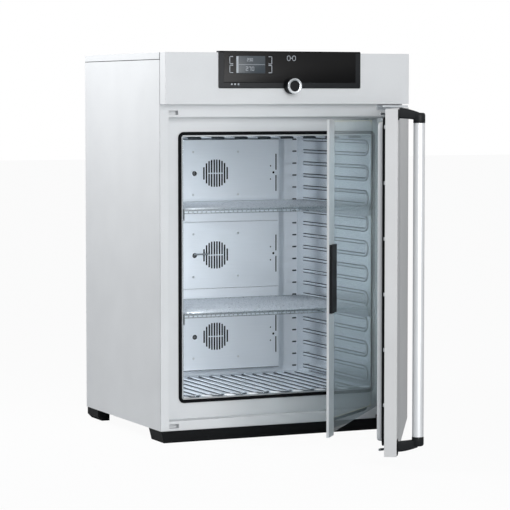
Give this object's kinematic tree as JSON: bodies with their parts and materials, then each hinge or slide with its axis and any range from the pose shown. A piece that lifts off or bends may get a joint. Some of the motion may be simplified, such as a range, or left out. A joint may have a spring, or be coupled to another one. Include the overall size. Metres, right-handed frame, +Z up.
{
  "type": "laboratory incubator",
  "caption": "Cooled laboratory incubator cabinet with a ribbed stainless chamber, wire shelves, inner glass door, insulated outer door, latch handle and black control panel",
  "frame": {"origin": "On the underside of the front foot bar, at the middle of the cabinet's width, on the line of its front face", "axes": "+Z up, +X to the right seen from the front, +Y into the cabinet. Metres."},
  "size_m": [0.8317, 1.4938, 1.188],
  "materials": {
    "powder_coat": "satin powder coat",
    "stainless": "fine brushed stainless steel",
    "door_plastic": "matt white vacuum-formed lining",
    "seal_rubber": "matt black rubber",
    "black_steel": "matt black paint",
    "zinc_steel": "zinc-plated steel",
    "aluminium": "satin anodised",
    "handle_grey": "satin anodised tube",
    "handle_cast": "satin black paint",
    "black_plastic": "matt moulded",
    "panel_black": "gloss black front pane",
    "display": "dark glossy display",
    "glass": "clear toughened glass, faint green tint",
    "knob_metal": "turned satin metal",
    "knob_dark": "dark soft-touch cap",
    "foam": "rigid foam",
    "board": "circuit board lacquer",
    "supply_steel": "plated sheet"
  },
  "bodies": {
    "cabinet": {"left_side_panel": "powder_coat", "right_side_panel": "powder_coat", "top_cover": "powder_coat", "rear_panel": "powder_coat", "base_plate": "powder_coat", "front_frame": "powder_coat", "insulation": "foam", "chamber_left_wall": "stainless", "chamber_right_wall": "stainless", "chamber_ceiling": "stainless", "chamber_floor": "stainless", "chamber_back_wall": "stainless", "upper_air_panel": "stainless", "middle_air_panel": "stainless", "lower_air_panel": "stainless", "air_panel_screws": "stainless", "chamber_gasket": "seal_rubber", "temperature_sensor": "stainless", "front_foot_bar": "black_steel", "rear_feet": "black_steel", "control_head": "powder_coat", "panel_bezel": "black_plastic", "panel_glass": "panel_black", "display_module": "display", "control_board": "board", "power_supply": "supply_steel", "electronics_tray": "powder_coat", "cold_sinks": "aluminium", "peltier_elements": "board", "warm_sinks": "aluminium", "fan_motors": "black_plastic", "module_covers": "powder_coat", "upper_hinge_plate": "zinc_steel", "lower_hinge_plate": "black_steel", "latch_keepers": "powder_coat", "rear_sockets": "black_plastic"},
    "upper_fan": {"upper_fan": "black_plastic"},
    "middle_fan": {"middle_fan": "black_plastic"},
    "lower_fan": {"lower_fan": "black_plastic"},
    "upper_rear_fan": {"upper_rear_fan": "black_plastic"},
    "middle_rear_fan": {"middle_rear_fan": "black_plastic"},
    "lower_rear_fan": {"lower_rear_fan": "black_plastic"},
    "upper_shelf": {"upper_shelf": "stainless"},
    "lower_shelf": {"lower_shelf": "stainless"},
    "knob": {"knob_ring": "knob_metal"},
    "knob_cap": {"knob_cap": "knob_dark"},
    "outer_door": {"door_skin": "powder_coat", "door_lining": "door_plastic", "door_insulation": "foam", "door_seal": "seal_rubber", "handle_bases": "black_plastic"},
    "handle": {"handle_bar": "handle_grey", "upper_handle_bracket": "handle_cast", "lower_handle_bracket": "handle_cast", "latch_rod": "zinc_steel"},
    "glass_door": {"glass_pane": "glass", "glass_edge_profile": "aluminium", "glass_door_grip": "black_plastic", "glass_hinge_clamps": "zinc_steel"}
  },
  "joints": [
    {"name": "outer_door_swing", "type": "hinge", "parent": "cabinet", "child": "outer_door", "pos_m": [0.4, -0.025, 0.5], "axis": [0, 0, 1], "range_deg": [-59.5, 60]},
    {"name": "glass_door_swing", "type": "hinge", "parent": "cabinet", "child": "glass_door", "pos_m": [0.372, 0.02, 0.5], "axis": [0, 0, 1], "range_deg": [-50.1, 50.57]},
    {"name": "handle_turn", "type": "hinge", "parent": "outer_door", "child": "handle", "pos_m": [-0.00025, -0.70842, 0.5], "axis": [0, 0, 1], "range_deg": [0, 30]},
    {"name": "knob_turn", "type": "hinge", "parent": "cabinet", "child": "knob", "pos_m": [0, -0.048, 1.082], "axis": [0, -1, 0], "continuous": true},
    {"name": "knob_press", "type": "slide", "parent": "knob", "child": "knob_cap", "axis": [0, 1, 0], "range_m": [0, 0.0015], "stiffness_N_per_m": 700, "springref_m": -0.001},
    {"name": "upper_shelf_slide", "type": "slide", "parent": "cabinet", "child": "upper_shelf", "axis": [0, -1, 0], "range_m": [0, 0.05]},
    {"name": "lower_shelf_slide", "type": "slide", "parent": "cabinet", "child": "lower_shelf", "axis": [0, -1, 0], "range_m": [0, 0.05]},
    {"name": "upper_fan_spin", "type": "hinge", "parent": "cabinet", "child": "upper_fan", "pos_m": [0.007, 0.553, 0.798], "axis": [0, 1, 0], "continuous": true},
    {"name": "upper_rear_fan_spin", "type": "hinge", "parent": "cabinet", "child": "upper_rear_fan", "pos_m": [0.14, 0.706, 0.798], "axis": [0, 1, 0], "continuous": true},
    {"name": "middle_fan_spin", "type": "hinge", "parent": "cabinet", "child": "middle_fan", "pos_m": [0.007, 0.553, 0.528], "axis": [0, 1, 0], "continuous": true},
    {"name": "middle_rear_fan_spin", "type": "hinge", "parent": "cabinet", "child": "middle_rear_fan", "pos_m": [0.14, 0.706, 0.528], "axis": [0, 1, 0], "continuous": true},
    {"name": "lower_fan_spin", "type": "hinge", "parent": "cabinet", "child": "lower_fan", "pos_m": [0.007, 0.553, 0.258], "axis": [0, 1, 0], "continuous": true},
    {"name": "lower_rear_fan_spin", "type": "hinge", "parent": "cabinet", "child": "lower_rear_fan", "pos_m": [0.14, 0.706, 0.258], "axis": [0, 1, 0], "continuous": true}
  ],
  "couplings": [
    {"joint": "glass_door_swing", "follows": "outer_door_swing", "ratio": 0.842}
  ]
}
